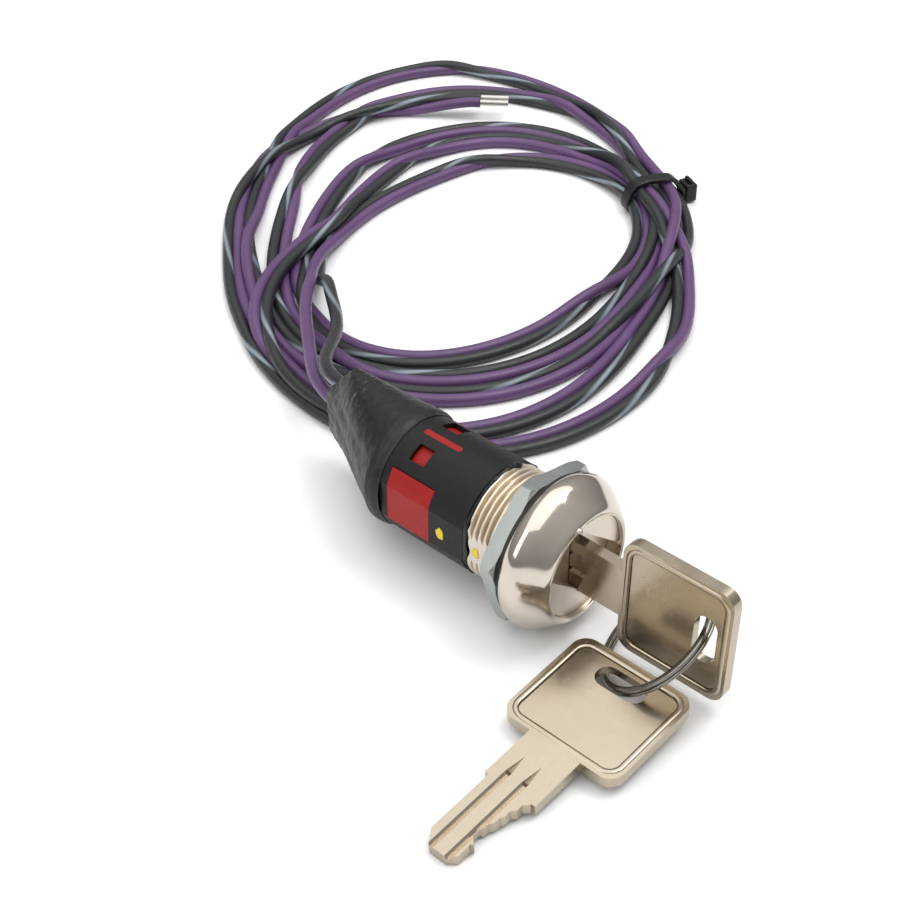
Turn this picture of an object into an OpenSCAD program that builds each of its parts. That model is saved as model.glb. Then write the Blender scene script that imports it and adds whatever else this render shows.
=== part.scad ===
// Selector key switch: a keyed lock cylinder with a domed head and a threaded barrel,
// a round housing with a rotary contact set, a heat-shrink boot and two coiled leads.
// The axis of the switch is the Y axis. The key goes in from -Y, the leads leave at +Y.
// The origin is on the axis, at the rear face of the nut. The switch lies on its head's rim.

/* [Head and barrel] */
// Diameter of the thread on the barrel
thread_d = 22; // [20:0.1:26]
// Length of thread left free behind the nut
thread_len = 7.4; // [4:0.1:12]
// Largest diameter of the domed head
head_d = 30; // [28:0.5:36]
// Length of the dome, from its crown to its widest ring
dome_len = 6.2; // [5:0.1:9]
// Length from the widest ring to the back of the head
head_back_len = 2; // [1.5:0.1:4]
// Diameter of the back of the head
head_back_d = 28.2; // [27:0.1:30]
// Distance from the barrel's axis to the flat on its side
barrel_flat = 10.4; // [10.3:0.05:10.8]
// Diameter of the neck that the housing slips over
neck_d = 20.4; // [19.5:0.1:21]
// Length of the neck
neck_len = 6; // [5:0.1:9]
/* [Nut and gasket] */
// Width of the nut across its flats
nut_af = 27; // [26:0.5:32]
// Thickness of the nut
nut_t = 3; // [2:0.1:5]
// Thickness of the sealing gasket
gasket_t = 0.8; // [0.5:0.1:1.5]
// Diameter of the gasket
gasket_d = 28; // [26:0.5:30]
/* [Plug] */
// Diameter of the plug's face
plug_face_d = 20; // [19:0.1:20.6]
// Depth of the plug's face behind the crown
face_depth = 1; // [0.5:0.1:2]
// Thickness of the plug's head
plug_head_t = 4; // [3:0.1:5]
// Diameter of the plug's body
plug_d = 14; // [13:0.1:15]
// Width of the groove across the face
groove_w = 10; // [7:0.1:11]
// Depth of the groove across the face
groove_depth = 2.2; // [1:0.1:2.8]
// Turn of the key from off to on
turn_deg = 90; // [45:5:120]
/* [Key] */
// Thickness of the key
key_t = 2.2; // [1.6:0.1:2.4]
// Width of the key's bow
bow_w = 24; // [18:0.5:28]
// Length of the key's bow
bow_len = 22.3; // [16:0.1:26]
// Length of the shoulder
shoulder_len = 11.2; // [8:0.1:14]
// Width of the shoulder
shoulder_w = 10.6; // [9.5:0.1:12]
// Length of the blade
blade_len = 16; // [12:0.1:16.5]
// Width of the blade
blade_w = 9; // [7:0.1:9.3]
// Width of the hole for the ring
key_hole_w = 4.6; // [3.6:0.1:6]
// Length of the hole for the ring
key_hole_len = 10; // [6:0.1:12]
// Distance from the bow's end to the middle of its hole
key_hole_in = 5; // [4:0.1:7]
/* [Split ring] */
// Mean diameter of the split ring
ring_d = 22.6; // [20:0.1:26]
// Width of the ring's wire from inside to outside
ring_radial = 1.4; // [1:0.1:2]
// Height of the ring's two turns together
ring_axial = 1.7; // [1.2:0.1:2.2]
/* [Housing] */
// Outer diameter of the housing
housing_d = 22.4; // [22:0.1:24]
// Length of the housing
housing_len = 22.3; // [20:0.1:28]
// Distance from the axis to the flat on the housing
housing_flat = 10.6; // [10.4:0.05:10.9]
// Thickness of the bead of sealing compound in front of the housing
bead_t = 0.3; // [0.2:0.05:0.6]
/* [Boot] */
// Length of the heat-shrink boot
boot_len = 28; // [24:0.5:36]
// Length of housing that the boot covers
boot_grip = 2; // [1:0.1:4]
// Wall of the heat-shrink boot
boot_wall = 0.6; // [0.4:0.1:1]
// Height of the boot's pinched end
pinch_h = 21; // [16:0.5:24]
// Thickness of the boot's pinched end
pinch_t = 4.8; // [4:0.1:6]
/* [Leads] */
// Diameter of a lead over its sheath
lead_d = 2.8; // [2:0.1:3]
// Height of the coil of leads
coil_h = 10; // [8:0.5:14]
// Width of the cable tie
tie_w = 3.6; // [2.5:0.1:4.8]
/* [Hidden] */
fine = 96;
medium = 48;
slip = 0.05;
tiny = 0.01;
through = 1;
// stations along the axis
nut_front = -nut_t;
head_back = nut_front - gasket_t;
widest = head_back - head_back_len;
crown = widest - dome_len;
face_y = crown + face_depth;
plug_head_back = face_y + plug_head_t;
plug_back = 9.5;
web_back = plug_back + 0.1;
neck_back = thread_len + neck_len;
housing_y = thread_len + bead_t;
housing_back = housing_y + housing_len;
floor_z = -head_d / 2;
// head
lip_w = 0.35;
dome_round = 0.5;
throat_r = plug_face_d / 2 + 0.07;
dome_base_r = throat_r + lip_w;
nub_r = 0.5;
nub_deg = 16;
under_nut_r = thread_d / 2 - 0.3;
nut_bore_r = thread_d / 2 - 0.04;
nut_corner_cut = 0.55;
// plug
plug_bore_r = plug_d / 2 + 0.06;
groove_turn = 50;
groove_offset = 0.6;
keyway_slack = 0.25;
keyway_len = blade_len + 0.25;
wafer_n = 6;
wafer_pitch = 2.2;
wafer_t = 1;
wafer_w = 8.2;
wafer_play = 0.05;
wafer_y = -5.2;
pocket_x = 6;
pocket_low = -3.2;
pocket_high = 2.6;
ear_x = 5.6;
ear_low = 1.6;
ear_high = 2.5;
wafer_spring_d = 0.9;
wafer_spring_x = 4.9;
pin_d = 1.6;
pin_y = 8.5;
pin_top_r = 8.4;
pin_root_r = 4;
pin_slot_r = 8.8;
ball_d = 2;
ball_r = 7.5;
ball_groove_r = 6.4;
ball_hole_d = 2.1;
tail_r = 4;
clip_t = 0.7;
clip_r = 7.9;
clip_groove_r = 3.2;
clip_y = web_back + slip;
tail_af = 5;
// contact set
rotor_y = 13.9;
rotor_t = 3.2;
rotor_r = 6.8;
tail_end = rotor_y + rotor_t - 0.1;
wiper_y = rotor_y + rotor_t + 0.5;
wiper_t = 0.5;
wiper_len = 13;
wiper_w = 3.6;
contact_r = 5;
bump_r = 0.9;
bump_h = 0.5;
screw_r = 1;
screw_head_r = 1.9;
screw_head_t = 0.9;
washer_r = 2.2;
washer_t = 0.3;
block_y = neck_back + 0.1;
chamber_r = 7.6;
stud_gap = 0.05;
stud_head_t = 0.4;
stud_r = 1.2;
stud_head_r = 1.7;
block_face = wiper_y + wiper_t + bump_h + stud_gap + stud_head_t;
block_back = housing_back - 0.4;
block_r = neck_d / 2;
sleeve_r = neck_d / 2 + slip;
tab_len = 4.5;
tab_w = 2.6;
tab_t = 0.7;
solder_r = 1.9;
solder_len = 3.2;
// cut-outs of the housing: angle from the top towards +X, first station, last station, width
windows = [[-29, 20.5, 24.1, 3.6], [22, 20.6, 24.6, 4.2]];
slots = [[-5, 16.7, 25.6, 1.3], [45, 15.7, 27.2, 1.3]];
panel_from = -52;
panel_to = -112;
panel_y = [16, 26.3];
// paint
dot_r = 1.2;
dot_t = 0.08;
barrel_dot_y = 4.9;
housing_dot_y = 13.2;
// boot
boot_y = housing_back - boot_grip;
boot_back = boot_y + boot_len;
boot_r = housing_d / 2 + slip + boot_wall;
boot_straight = boot_grip + 1;
pinch_x = 5;
pinch_z = 0;
boot_solid_len = 6;
boot_ledge = 0.35;
boot_sides = 48;
boot_rings = 14;
// leads: the points of each route, from its solder joint to where it joins the coil
black_route = [[0, 34.9, 5], [0, 37.5, 5], [2, 41.5, 5], [4.2, 46, 4.8], [5.6, 60, 4],
    [8, 63.5, 3.4], [13, 67, 2], [19, 71, 0], [25.5, 76, -1.8], [30.5, 82, -2.9], [34.5, 88.5, -3.2],
    [39.5, 94.5, -3.3], [45, 98, -4.2]];
purple_route = [[0, 34.9, -5], [0, 37.5, -5], [1.8, 41.5, -3], [3.8, 46, -1], [5.2, 60, -0.4],
    [7, 64.5, -0.8], [11.5, 70, -1.6], [17.5, 77, -2.6], [23, 84, -3.1],
    [28.5, 90.5, -3.2], [34.5, 95.5, -3.3], [40.5, 99.5, -4.2]];
lead_sides = 8;
lead_gap = 0.1;
coil_out = [91, 101, 96, 60, 44];
coil_in = [86, 89, 46, 32, 6];
coil_points = 64;
tie_turn = -25;
tie_centre = [90, 92];
tie_inner_r = 37.5;
tie_outer_r = 58.5;
tie_t = 1.3;
tie_slack = 0.1;
end_pocket = [146, 133];
end_turn = 128;
end_pocket_len = 12;
end_pocket_w = 8;
end_len = 8;
end_d = 1.7;
// key
bow_corner_r = 3;
bow_rim = 1.5;
bow_recess = 0.25;
tip_cut = 2.6;
mill_depth = 0.6;
mill_z = [2.3, -1.2];
mill_start = 6.5;
mill_run_out = 4;
cuts = [[1.8, 0.9], [3.8, 1.6], [5.8, 2], [7.8, 2.6], [9.5, 3.1]];
tip_low = 2.2;
cut_w = 1.4;
key_stop = face_y + groove_depth - slip;
// split ring and spare key
ring_centre = [-0.35, -27.93, -6.39];
ring_axis = [-0.35, 0.55, 0.76];
spare_hole = [-10.3, -28.2, -10.6];
spare_reach = bow_len - key_hole_in + shoulder_len + blade_len;
spare_tilt = asin((spare_hole[2] - key_t / 2 - floor_z - 0.02) / spare_reach);
// turns local +Z onto +Y and moves it to station y
module along(y) {
    translate([0, y, 0]) rotate([-90, 0, 0]) children();
}
// a cylinder on the axis of the switch, from station a to station b
module rod(a, b, r, sides = fine) {
    along(a) cylinder(h = b - a, r = r, $fn = sides);
}
// a wedge about the axis, between two angles from the top towards +X
module wedge(from, to, a, b, r) {
    steps = 6;
    along(a) linear_extrude(b - a)
        polygon(concat([[0, 0]],
            [for (i = [0:steps]) let (t = from + (to - from) * i / steps) [r * sin(t), -r * cos(t)]]));
}
// places a thing that is drawn at the top of the axis at an angle towards +X
module at_angle(t) {
    rotate([0, t, 0]) children();
}
function smooth(u) = u * u * (3 - 2 * u);
// the dome's section as points from the crown to the back of the head
function dome_points() = concat(
    [for (i = [0:16]) let (
            u = i / 16,
            swell = (1 - dome_round) * smooth(u) + dome_round * sqrt(1 - (1 - u) * (1 - u)))
        [dome_base_r + (head_d / 2 - dome_base_r) * swell, crown + dome_len * u]],
    [for (i = [1:5]) let (t = 90 * i / 5)
        [head_d / 2 - (head_d / 2 - head_back_d / 2) * (1 - cos(t)), widest + head_back_len * sin(t)]]);
module lock_body() {
    color("#cbbfae") difference() {
        union() {
            rotate([-90, 0, 0]) rotate_extrude($fn = fine)
                polygon(concat([[0, crown], [throat_r + lip_w / 3, crown]], dome_points(),
                    [[0, head_back]]));
            rod(head_back - tiny, through, under_nut_r);
            rod(0, thread_len, thread_d / 2);
            rod(thread_len - tiny, neck_back, neck_d / 2);
        }
        rod(crown - through, plug_head_back, throat_r);
        rod(plug_head_back - tiny, web_back, plug_bore_r);
        rod(web_back - tiny, neck_back + through, clip_r + 0.5);
        // flat along the side of the barrel
        translate([-barrel_flat - thread_d, head_back + gasket_t, -thread_d / 2])
            cube([thread_d, thread_len - head_back, thread_d]);
        // space in which the stop pin swings
        intersection() {
            rod(pin_y - pin_d / 2 - slip, web_back + through, pin_slot_r);
            wedge(180 - 7.5, 180 + turn_deg + 7.5, pin_y - pin_d, web_back + through, thread_d);
        }
        // radial hole for the detent ball and its spring
        translate([0, pin_y, 0]) cylinder(h = thread_d, r = ball_hole_d / 2, $fn = medium);
    }
    // pointer nub on the rim of the throat
    color("#cbbfae") at_angle(-nub_deg) translate([0, crown + 0.2, throat_r + nub_r])
        sphere(r = nub_r, $fn = 24);
}
module sealing_gasket() {
    color("#26241f") difference() {
        rod(head_back, nut_front, gasket_d / 2);
        rod(head_back - through, nut_front + through, under_nut_r + slip);
    }
}
module hex_nut() {
    corner_r = nut_af / 2 / cos(30);
    color("#9fa8a4") difference() {
        intersection() {
            along(nut_front) rotate(12) cylinder(h = nut_t, r = corner_r, $fn = 6);
            along(nut_front) rotate_extrude($fn = fine)
                polygon([[0, 0], [corner_r - nut_corner_cut * 1.7, 0], [corner_r, nut_corner_cut],
                    [corner_r, nut_t - nut_corner_cut], [corner_r - nut_corner_cut * 1.7, nut_t], [0, nut_t]]);
        }
        rod(nut_front - through, nut_t, nut_bore_r);
    }
}
module keyway(slack) {
    translate([-key_t / 2 - slack, face_y, -blade_w / 2 - slack])
        cube([key_t + 2 * slack, key_stop + keyway_len - face_y, blade_w + 2 * slack]);
}
module wafer_slot(y) {
    translate([-wafer_w / 2 - wafer_play, y - wafer_t / 2 - wafer_play, -plug_d])
        cube([wafer_w + 2 * wafer_play, wafer_t + 2 * wafer_play, 2 * plug_d]);
    translate([0, y - wafer_t / 2 - wafer_play, pocket_low])
        cube([pocket_x, wafer_t + 2 * wafer_play, pocket_high - pocket_low]);
}
module plug() {
    color("#c9bcad") difference() {
        union() {
            rod(face_y, plug_head_back - slip, plug_face_d / 2);
            rod(plug_head_back - slip - tiny, plug_back, plug_d / 2);
            rod(plug_back - tiny, clip_y + clip_t + 1.2, tail_r);
            translate([-tail_af / 2, clip_y, -tail_af / 2])
                cube([tail_af, tail_end - clip_y, tail_af]);
        }
        // groove across the face
        rotate([0, -groove_turn + 90, 0])
            translate([-plug_d * 2, face_y - through, -groove_w / 2 + groove_offset])
                cube([plug_d * 4, groove_depth + through, groove_w]);
        keyway(keyway_slack / 2);
        // pocket that the key's shoulder seats in
        translate([-key_t / 2 - keyway_slack / 2, face_y - through, -shoulder_w / 2 - 0.2])
            cube([key_t + keyway_slack, groove_depth + through, shoulder_w + 0.4]);
        for (i = [0:wafer_n - 1]) wafer_slot(wafer_y + i * wafer_pitch);
        // seat of the retaining clip
        difference() {
            rod(clip_y - slip / 2, clip_y + clip_t + slip / 2, tail_r + 1);
            rod(clip_y - through, clip_y + clip_t + through, clip_groove_r);
        }
        // radial hole for the stop pin
        translate([0, pin_y, -plug_d]) cylinder(h = plug_d - pin_root_r, r = pin_d / 2, $fn = medium);
        // track that the detent ball rides in
        intersection() {
            difference() {
                rod(pin_y - ball_hole_d / 2, pin_y + ball_hole_d / 2, plug_d);
                rod(pin_y - plug_d, pin_y + plug_d, ball_groove_r);
            }
            wedge(-turn_deg - 10, 10, pin_y - ball_d, pin_y + ball_d, thread_d);
        }
        // tapped hole for the rotor's screw
        rod(tail_end - 4, tail_end + through, screw_r, medium);
    }
}
module wafers() {
    color("#c8a24a") for (i = [0:wafer_n - 1]) {
        y = wafer_y + i * wafer_pitch;
        difference() {
            union() {
                intersection() {
                    rod(y - wafer_t / 2, y + wafer_t / 2, plug_d / 2 - slip);
                    translate([-wafer_w / 2, y - wafer_t, -plug_d])
                        cube([wafer_w, 2 * wafer_t, 2 * plug_d]);
                }
                translate([0, y - wafer_t / 2, ear_low])
                    cube([ear_x, wafer_t, ear_high - ear_low]);
            }
            keyway(keyway_slack);
        }
    }
}
module wafer_springs() {
    color("#b9bcc0") for (i = [0:wafer_n - 1])
        translate([wafer_spring_x, wafer_y + i * wafer_pitch, pocket_low + slip]) difference() {
            cylinder(h = ear_low - pocket_low - 2 * slip, r = wafer_spring_d / 2, $fn = 24);
            translate([0, 0, -through])
                cylinder(h = 2 * through + ear_low - pocket_low, r = wafer_spring_d / 4, $fn = 24);
        }
}
module stop_pin() {
    color("#8f9296") translate([0, pin_y, -pin_top_r])
        cylinder(h = pin_top_r - pin_root_r, r = pin_d / 2, $fn = medium);
}
module detent_ball() {
    color("#d7d9dc") translate([0, pin_y, ball_r]) sphere(r = ball_d / 2, $fn = medium);
}
module detent_spring() {
    bottom = ball_r + ball_d / 2 - 0.25;
    color("#b9bcc0") translate([0, pin_y, bottom]) difference() {
        cylinder(h = neck_d / 2 - bottom, r = 0.95, $fn = medium);
        translate([0, 0, -through]) cylinder(h = neck_d, r = 0.67, $fn = medium);
    }
}
module retaining_clip() {
    color("#6f7377") difference() {
        rod(clip_y, clip_y + clip_t, clip_r);
        rod(clip_y - through, clip_y + clip_t + through, clip_groove_r);
        translate([-clip_groove_r + 0.3, clip_y - through, -2 * clip_r])
            cube([2 * clip_groove_r - 0.6, clip_t + 2 * through, 2 * clip_r]);
    }
}
module contact_rotor() {
    color("#e8e4d8") difference() {
        rod(rotor_y, rotor_y + rotor_t, rotor_r);
        translate([-tail_af / 2 - slip, rotor_y - through, -tail_af / 2 - slip])
            cube([tail_af + 2 * slip, rotor_t - 0.1 + through, tail_af + 2 * slip]);
        rod(rotor_y, rotor_y + rotor_t + through, screw_r + 0.2, medium);
    }
}
module wiper_spring() {
    color("#b9bcc0") difference() {
        rod(rotor_y + rotor_t, wiper_y, 3, medium);
        rod(rotor_y, wiper_y + through, 2.3, medium);
    }
}
module contact_wiper() {
    color("#d0a040") {
        difference() {
            translate([-wiper_len / 2, wiper_y, -wiper_w / 2]) cube([wiper_len, wiper_t, wiper_w]);
            rod(wiper_y - through, wiper_y + wiper_t + through, screw_r + 0.2, medium);
        }
        for (side = [-1, 1]) translate([side * contact_r, 0, 0])
            rod(wiper_y + wiper_t - tiny, wiper_y + wiper_t + bump_h, bump_r, medium);
    }
}
module rotor_washer() {
    color("#9a9da1") difference() {
        rod(wiper_y + wiper_t, wiper_y + wiper_t + washer_t, washer_r, medium);
        rod(wiper_y, wiper_y + wiper_t + through, screw_r + 0.1, medium);
    }
}
module rotor_screw() {
    head_y = wiper_y + wiper_t + washer_t;
    color("#8d9094") difference() {
        union() {
            rod(tail_end - 3.5, head_y + tiny, screw_r, medium);
            rod(head_y, head_y + screw_head_t, screw_head_r, medium);
        }
        for (t = [0, 90]) rotate([0, t, 0]) translate([-1.2, head_y + 0.4, -0.2])
            cube([2.4, screw_head_t, 0.4]);
    }
}
// an elongated opening or rib at the top of the axis, round at its front end
module slot_shape(spec, grow) {
    half = spec[3] / 2 + grow;
    at_angle(spec[0]) {
        translate([-half, spec[1] + half, 0])
            cube([2 * half, spec[2] - spec[1] - half + grow, housing_d]);
        translate([0, spec[1] + half, 0]) cylinder(h = housing_d, r = half, $fn = medium);
    }
}
module window_shape(spec) {
    at_angle(spec[0]) translate([-spec[3] / 2, spec[1], 0])
        cube([spec[3], spec[2] - spec[1], housing_d]);
}
module panel_shape(grow) {
    wedge(panel_from + 20 * grow, panel_to - 20 * grow, panel_y[0] - grow, panel_y[1] + grow, housing_d);
}
// everything on the axis side of the housing's flat
module inside_flat() {
    translate([-housing_flat, -thread_d, -thread_d]) cube([2 * thread_d, 4 * thread_d, 2 * thread_d]);
}
module contact_block() {
    color("#b3262b") difference() {
        union() {
            rod(block_y, block_back, block_r);
            intersection() {
                difference() {
                    rod(panel_y[0] - 1, panel_y[1] + 2, housing_d / 2);
                    rod(0, housing_back, block_r - 0.5);
                }
                inside_flat();
                union() {
                    for (s = slots) slot_shape(s, 0);
                    panel_shape(0);
                }
            }
        }
        rod(block_y - through, block_face, chamber_r);
        rod(block_face - tiny, block_face + 2, washer_r + 0.4);
        for (side = [-1, 1]) translate([0, 0, side * contact_r])
            rod(block_face - through, block_back + through, stud_r + slip, medium);
    }
}
module fixed_contacts() {
    color("#c99a3c") for (side = [-1, 1]) translate([0, 0, side * contact_r]) {
        rod(block_face - stud_head_t, block_face, stud_head_r, medium);
        rod(block_face - tiny, block_back + 0.6, stud_r, medium);
        translate([-tab_w / 2, block_back, -tab_t / 2]) cube([tab_w, tab_len, tab_t]);
    }
}
module solder_joints() {
    color("#b4b8bb") for (side = [-1, 1])
        translate([0, block_back + tab_len, side * contact_r]) difference() {
            rod(-solder_len / 2, solder_len / 2, solder_r, medium);
            translate([-tab_w / 2, -tab_len, -tab_t / 2]) cube([tab_w, tab_len, tab_t]);
            rod(0.5, solder_len, lead_d / 2, medium);
        }
}
module housing() {
    color("#242424") difference() {
        intersection() {
            rod(housing_y, housing_back, housing_d / 2);
            inside_flat();
        }
        rod(housing_y - through, housing_back + through, sleeve_r);
        for (w = windows) window_shape(w);
        for (s = slots) slot_shape(s, slip);
        panel_shape(slip);
    }
}
module sealing_bead() {
    color("#151515") difference() {
        intersection() {
            rod(thread_len, housing_y, housing_d / 2 - 0.6);
            inside_flat();
        }
        rod(thread_len - through, housing_y + through, neck_d / 2);
    }
}
module paint_dots() {
    color("#e3c21c") {
        translate([-barrel_flat - dot_t, barrel_dot_y, 0]) rotate([0, 90, 0])
            cylinder(h = dot_t, r = dot_r, $fn = medium);
        translate([-housing_flat - dot_t, housing_dot_y, 0]) rotate([0, 90, 0])
            cylinder(h = dot_t, r = dot_r, $fn = medium);
    }
}
// one ring of the boot: u runs from 0 at the housing to 1 at the pinched end
function boot_ring(y, u, inset) =
    let (
        s = smooth(u),
        half_x = (1 - s) * boot_r + s * pinch_t / 2 - inset,
        half_z = (1 - s) * boot_r + s * pinch_h / 2 - inset
    )
    [for (i = [0:boot_sides - 1]) let (t = 360 * i / boot_sides)
        [s * pinch_x + half_x * cos(t), y, s * pinch_z - half_z * sin(t)]];
// faces of a closed tube of rings with the same number of points
function loft_faces(rings, sides) = concat(
    [[for (i = [0:sides - 1]) i]],
    [for (j = [0:rings - 2], i = [0:sides - 1]) let (k = (i + 1) % sides, a = j * sides, b = a + sides)
        each [[a + i, b + k, a + k], [a + i, b + i, b + k]]],
    [[for (i = [sides - 1:-1:0]) (rings - 1) * sides + i]]);
module boot_solid(inset, from, to) {
    span = boot_back - boot_y - boot_straight;
    ys = [for (j = [0:boot_rings]) from + (to - from) * j / boot_rings];
    points = [for (y = ys) each boot_ring(y, max(0, (y - boot_y - boot_straight) / span), inset)];
    polyhedron(points, loft_faces(boot_rings + 1, boot_sides), convexity = 6);
}
// the straight way that a lead takes through the boot's end
module lead_way(route, i, j) {
    a = route[i];
    b = route[j];
    d = b - a;
    h = norm(d);
    translate(a) rotate([0, acos(d[2] / h), atan2(d[1], d[0])])
        cylinder(h = h, r = lead_d / 2 + lead_gap, $fn = 24);
}
module shrink_boot() {
    color("#1f1f1f") difference() {
        boot_solid(0, boot_y, boot_back);
        rod(boot_y - through, housing_back + 0.05, housing_d / 2 + slip);
        boot_solid(boot_wall + boot_ledge, housing_back - 0.5, boot_back - boot_solid_len);
        lead_way(black_route, 3, 4);
        lead_way(purple_route, 3, 4);
    }
}
// a tube of ring points swept along a route
function unit(v) = v / norm(v);
function route_dir(r, i) = unit(r[min(i + 1, len(r) - 1)] - r[max(i - 1, 0)]);
function route_ring(r, i, radius) =
    let (
        d = route_dir(r, i),
        u = unit(cross(d, [0, 0, 1])),
        v = cross(d, u)
    )
    [for (k = [0:lead_sides - 1]) let (t = 360 * k / lead_sides) r[i] + radius * (cos(t) * u + sin(t) * v)];
// rounds the route: three points in place of each stretch between two
function softened(r) = concat([r[0]],
    [for (i = [0:len(r) - 2]) each [(3 * r[i] + r[i + 1]) / 4, (r[i] + 3 * r[i + 1]) / 4]],
    [r[len(r) - 1]]);
module lead(route) {
    r = softened(route);
    polyhedron([for (i = [0:len(r) - 1]) each route_ring(r, i, lead_d / 2)],
        loft_faces(len(r), lead_sides), convexity = 8);
}
module purple_lead() {
    color("#6a4a86") lead(purple_route);
}
module black_lead() {
    color("#333638") lead(black_route);
}
// an ellipse given as [centre x, centre y, half length, half width, turn]
function oval(e) = [for (i = [0:coil_points - 1]) let (t = 360 * i / coil_points,
    a = e[2] * cos(t), b = e[3] * sin(t))
    [e[0] + a * cos(e[4]) - b * sin(e[4]), e[1] + a * sin(e[4]) + b * cos(e[4])]];
module lead_coil() {
    color("#4a3a5c") translate([0, 0, floor_z]) difference() {
        linear_extrude(coil_h) difference() {
            polygon(oval(coil_out));
            polygon(oval(coil_in));
        }
        translate([end_pocket[0], end_pocket[1], -through]) rotate(end_turn)
            translate([0, -end_pocket_w / 2, 0]) cube([end_pocket_len, end_pocket_w, coil_h + 2 * through]);
    }
}
// the two stripped and tinned ends, side by side
module lead_ends() {
    color("#c9c7c0") for (side = [-1, 1])
        translate([end_pocket[0], end_pocket[1], floor_z + coil_h / 2]) rotate(end_turn)
            translate([0, side * 1.5, 0]) rotate([0, 90, 0]) cylinder(h = end_len, r = end_d / 2, $fn = 24);
}
module at_tie() {
    translate([tie_centre[0], tie_centre[1], floor_z]) rotate(tie_turn) children();
}
module tie_strap() {
    color("#1c1c1c") at_tie() difference() {
        translate([tie_inner_r - tie_slack - tie_t, -tie_w / 2, 0])
            cube([tie_outer_r - tie_inner_r + 2 * (tie_slack + tie_t), tie_w, coil_h + tie_slack + tie_t]);
        translate([tie_inner_r - tie_slack, -tie_w, -through])
            cube([tie_outer_r - tie_inner_r + 2 * tie_slack, 2 * tie_w, coil_h + tie_slack + through]);
    }
}
module tie_head() {
    color("#1c1c1c") at_tie() {
        translate([tie_outer_r + tie_slack + tie_t, -tie_w / 2 - 1, 1]) cube([4, tie_w + 2, 5.6]);
        translate([tie_outer_r + tie_slack + tie_t + 1, -tie_w / 2 + 0.4, 6.6]) cube([1.2, tie_w - 0.8, 4]);
    }
}
// a rectangle with round corners, centred
module round_rect(w, h, r) {
    square([w - 2 * r, h], center = true);
    square([w, h - 2 * r], center = true);
    for (x = [-1, 1], y = [-1, 1]) translate([x * (w / 2 - r), y * (h / 2 - r)]) circle(r = r, $fn = medium);
}
// the outline of a key: its stop at the origin, the blade towards +x
module key_outline() {
    bow_mid = -shoulder_len - bow_len / 2;
    difference() {
        union() {
            translate([bow_mid, 0]) round_rect(bow_len, bow_w, bow_corner_r);
            translate([-shoulder_len - 1, -shoulder_w / 2]) square([shoulder_len + 1, shoulder_w]);
            polygon([[-1, -blade_w / 2], [blade_len - 2 * tip_cut, -blade_w / 2],
                [blade_len - 1.6 * tip_cut, -blade_w / 2 + tip_low], [blade_len - tip_cut / 2, -blade_w / 2 + tip_low],
                [blade_len, -blade_w / 2 + tip_low + tip_cut / 2], [blade_len, blade_w / 2 - tip_cut * 0.7],
                [blade_len - tip_cut, blade_w / 2], [-1, blade_w / 2]]);
        }
        translate([-shoulder_len - bow_len + key_hole_in, 0])
            round_rect(key_hole_w, key_hole_len, key_hole_w / 2 - tiny);
        for (c = cuts) polygon([[c[0] - cut_w / 2 - c[1], -blade_w], [c[0] - cut_w / 2 - c[1], -blade_w / 2 - tiny],
            [c[0] - cut_w / 2, -blade_w / 2 + c[1]], [c[0] + cut_w / 2, -blade_w / 2 + c[1]],
            [c[0] + cut_w / 2 + c[1], -blade_w / 2 - tiny], [c[0] + cut_w / 2 + c[1], -blade_w]]);
    }
}
// a V-shaped groove along +x that runs out at its start
module milled_groove() {
    side = mill_depth * sqrt(2);
    rotate([45, 0, 0]) translate([0, -side / 2, -side / 2]) cube([blade_len + mill_start, side, side]);
    rotate([0, atan2(mill_depth, mill_run_out), 0]) rotate([45, 0, 0])
        translate([-mill_run_out - through, -side / 2, -side / 2])
            cube([mill_run_out + through, side, side]);
}
// a key with its blade towards +Y, its width along Z and its thickness along X
module key() {
    rotate([90, 0, 90]) difference() {
        linear_extrude(key_t, center = true) key_outline();
        for (side = [0, 1]) mirror([0, 0, side]) translate([0, 0, key_t / 2]) {
            translate([-shoulder_len - bow_len / 2, 0]) linear_extrude(2 * bow_recess, center = true)
                round_rect(bow_len - 2 * bow_rim, bow_w - 2 * bow_rim, bow_corner_r - bow_rim / 2);
            for (z = mill_z) translate([-mill_start + mill_run_out, z, 0]) milled_groove();
        }
    }
}
module inserted_key() {
    color("#bfb2a0") translate([0, key_stop, 0]) key();
}
module split_ring() {
    tilt = acos(ring_axis[2] / norm(ring_axis));
    turn = atan2(ring_axis[1], ring_axis[0]);
    color("#8f8a84") translate(ring_centre) rotate([0, tilt, turn]) rotate_extrude($fn = 72)
        translate([ring_d / 2, 0]) square([ring_radial, ring_axial], center = true);
}
module spare_key() {
    hole_y = -shoulder_len - bow_len + key_hole_in;
    color("#bfb2a0") translate(spare_hole) rotate([0, -spare_tilt, 0]) rotate([0, 0, 90]) rotate([0, 90, 0])
        translate([0, -hole_y, 0]) key();
}
lock_body();
sealing_gasket();
hex_nut();
plug();
wafers();
wafer_springs();
stop_pin();
detent_ball();
detent_spring();
retaining_clip();
contact_rotor();
contact_wiper();
wiper_spring();
rotor_screw();
rotor_washer();
contact_block();
fixed_contacts();
solder_joints();
housing();
sealing_bead();
paint_dots();
shrink_boot();
purple_lead();
black_lead();
lead_coil();
lead_ends();
tie_strap();
tie_head();
inserted_key();
split_ring();
spare_key();
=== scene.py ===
import math
import bmesh
import bpy
import numpy as np
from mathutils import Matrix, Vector
from mathutils.geometry import convex_hull_2d


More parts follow.
